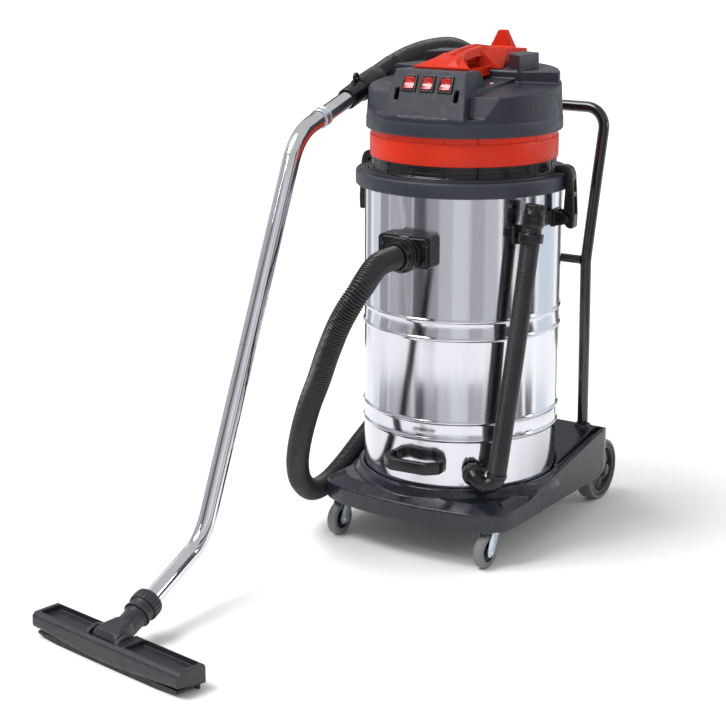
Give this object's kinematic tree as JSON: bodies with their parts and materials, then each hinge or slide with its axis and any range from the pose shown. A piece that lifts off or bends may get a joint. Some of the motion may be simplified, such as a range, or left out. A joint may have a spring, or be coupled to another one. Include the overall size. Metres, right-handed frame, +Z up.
{
  "type": "shop vacuum",
  "caption": "Wet and dry shop vacuum: bright steel drum on a wheeled trolley with a push handle, motor head with rocker switches, suction hose, bent wand and floor tool.",
  "frame": {"origin": "floor level, under the middle of the footprint of the machine with its wand and floor tool", "axes": "+Z up, -Y towards the front where the hose inlet and the floor tool are, +X to the right as seen from the front"},
  "size_m": [0.6365, 1.5842, 1.123],
  "materials": {
    "tank_steel": "bright rolled",
    "slate_plastic": "fine grain",
    "red_plastic": "satin gloss",
    "black_plastic": "fine grain",
    "handle_paint": "gloss black paint",
    "chrome_tube": "polished",
    "zinc_steel": "zinc plated",
    "caster_rubber": "matte grey",
    "rear_tyre_rubber": "matte grey beige",
    "hose_rubber": "satin black",
    "seal_rubber": "matte black",
    "filter_cloth": "woven cloth",
    "switch_lens": "clear red lens",
    "cast_aluminium": "as cast"
  },
  "bodies": {
    "machine": {"trolley_base": "slate_plastic", "rear_axle": "zinc_steel", "push_handle": "handle_paint", "drum": "tank_steel", "drum_collar": "slate_plastic", "drum_gasket": "seal_rubber", "filter_bag": "filter_cloth", "inlet_housing": "black_plastic", "inlet_deflector": "black_plastic", "hose_inlet_cuff": "black_plastic", "drum_grip": "black_plastic", "drain_elbow": "black_plastic", "drain_hose": "hose_rubber", "drain_clip": "black_plastic", "latch_bracket_left": "black_plastic", "latch_bracket_right": "black_plastic", "caster_plate_left": "zinc_steel", "caster_plate_right": "zinc_steel", "suction_hose": "hose_rubber", "hose_end_cuff": "black_plastic"},
    "head": {"head_skirt": "black_plastic", "head_band": "red_plastic", "head_cover": "slate_plastic", "top_handle": "red_plastic", "motor_plate": "cast_aluminium", "motor_1": "cast_aluminium", "motor_2": "cast_aluminium", "motor_3": "cast_aluminium", "float_cage": "black_plastic", "cable_gland": "seal_rubber", "switch_frame_1": "black_plastic", "switch_frame_2": "black_plastic", "switch_frame_3": "black_plastic"},
    "rotor_1": {"rotor_1": "cast_aluminium"},
    "rotor_2": {"rotor_2": "cast_aluminium"},
    "rotor_3": {"rotor_3": "cast_aluminium"},
    "rocker_1": {"rocker_1": "switch_lens"},
    "rocker_2": {"rocker_2": "switch_lens"},
    "rocker_3": {"rocker_3": "switch_lens"},
    "float": {"float_ball": "seal_rubber"},
    "latch_left": {"latch_lever_left": "black_plastic"},
    "latch_right": {"latch_lever_right": "black_plastic"},
    "drain_cap": {"drain_cap": "black_plastic"},
    "caster_swivel_left": {"caster_fork_left": "zinc_steel"},
    "caster_swivel_right": {"caster_fork_right": "zinc_steel"},
    "caster_wheel_left": {"caster_tyre_left": "caster_rubber", "caster_hub_left": "black_plastic"},
    "caster_wheel_right": {"caster_tyre_right": "caster_rubber", "caster_hub_right": "black_plastic"},
    "rear_wheel_left": {"rear_tyre_left": "rear_tyre_rubber", "rear_hub_left": "black_plastic"},
    "rear_wheel_right": {"rear_tyre_right": "rear_tyre_rubber", "rear_hub_right": "black_plastic"},
    "wand": {"wand_lower": "chrome_tube", "wand_upper": "chrome_tube"},
    "air_slider": {"air_slider": "chrome_tube"},
    "neck": {"tool_collar": "black_plastic", "tool_neck": "black_plastic"},
    "tool": {"tool_body": "black_plastic", "tool_squeegee": "seal_rubber"}
  },
  "joints": [
    {"name": "head_lift", "type": "slide", "parent": "machine", "child": "head", "axis": [0, 0, 1], "range_m": [0, 0.35]},
    {"name": "rotor_spin_1", "type": "hinge", "parent": "head", "child": "rotor_1", "pos_m": [0.14843, 0.35062, 0.93], "axis": [0, 0, 1], "continuous": true},
    {"name": "rotor_spin_2", "type": "hinge", "parent": "head", "child": "rotor_2", "pos_m": [0.00017, 0.42198, 0.93], "axis": [0, 0, 1], "continuous": true},
    {"name": "rotor_spin_3", "type": "hinge", "parent": "head", "child": "rotor_3", "pos_m": [0.0125, 0.2579, 0.93], "axis": [0, 0, 1], "continuous": true},
    {"name": "rocker_tip_1", "type": "hinge", "parent": "head", "child": "rocker_1", "pos_m": [0.02323, 0.16586, 1.03472], "axis": [0.9972, 0.075, 0], "range_deg": [-6, 0]},
    {"name": "rocker_tip_2", "type": "hinge", "parent": "head", "child": "rocker_2", "pos_m": [0.06581, 0.16906, 1.03472], "axis": [0.9972, 0.075, 0], "range_deg": [-6, 0]},
    {"name": "rocker_tip_3", "type": "hinge", "parent": "head", "child": "rocker_3", "pos_m": [0.10839, 0.17226, 1.03472], "axis": [0.9972, 0.075, 0], "range_deg": [-6, 0]},
    {"name": "float_rise", "type": "slide", "parent": "head", "child": "float", "axis": [0, 0, 1], "range_m": [0, 0.036]},
    {"name": "latch_open_left", "type": "hinge", "parent": "machine", "child": "latch_left", "pos_m": [-0.19424, 0.33787, 0.74], "axis": [0.0227, -0.9997, 0], "range_deg": [0, 80]},
    {"name": "latch_open_right", "type": "hinge", "parent": "machine", "child": "latch_right", "pos_m": [0.29969, 0.37501, 0.74], "axis": [-0.1271, 0.9919, 0], "range_deg": [0, 80]},
    {"name": "drain_cap_pull", "type": "slide", "parent": "machine", "child": "drain_cap", "axis": [0.0594, 0.1244, 0.9905], "range_m": [0, 0.05]},
    {"name": "caster_turn_left", "type": "hinge", "parent": "machine", "child": "caster_swivel_left", "pos_m": [-0.1383, 0.1535, 0.08], "axis": [0, 0, 1], "continuous": true},
    {"name": "caster_turn_right", "type": "hinge", "parent": "machine", "child": "caster_swivel_right", "pos_m": [0.2457, 0.1535, 0.08], "axis": [0, 0, 1], "continuous": true},
    {"name": "caster_roll_left", "type": "hinge", "parent": "caster_swivel_left", "child": "caster_wheel_left", "pos_m": [-0.1383, 0.1315, 0.0375], "axis": [1, 0, 0], "continuous": true},
    {"name": "caster_roll_right", "type": "hinge", "parent": "caster_swivel_right", "child": "caster_wheel_right", "pos_m": [0.2457, 0.1315, 0.0375], "axis": [1, 0, 0], "continuous": true},
    {"name": "rear_roll_left", "type": "hinge", "parent": "machine", "child": "rear_wheel_left", "pos_m": [-0.1323, 0.6815, 0.0735], "axis": [1, 0, 0], "continuous": true},
    {"name": "rear_roll_right", "type": "hinge", "parent": "machine", "child": "rear_wheel_right", "pos_m": [0.2397, 0.6815, 0.0735], "axis": [1, 0, 0], "continuous": true},
    {"name": "wand_swivel", "type": "hinge", "parent": "machine", "child": "wand", "pos_m": [-0.18572, 0.23542, 0.9805], "axis": [-0.0753, 0.9672, 0.2424], "range_deg": [-30, 60]},
    {"name": "air_slide", "type": "slide", "parent": "wand", "child": "air_slider", "axis": [-0.0753, 0.9672, 0.2424], "range_m": [0, 0.025]},
    {"name": "neck_swivel", "type": "hinge", "parent": "wand", "child": "neck", "pos_m": [-0.12409, -0.5564, 0.0767], "axis": [-0.0736, 0.9459, 0.316], "range_deg": [-45, 45]},
    {"name": "tool_tilt", "type": "hinge", "parent": "neck", "child": "tool", "pos_m": [-0.1143, -0.6845, 0.044], "axis": [0.9877, -0.1564, 0], "range_deg": [-50, 10]}
  ]
}
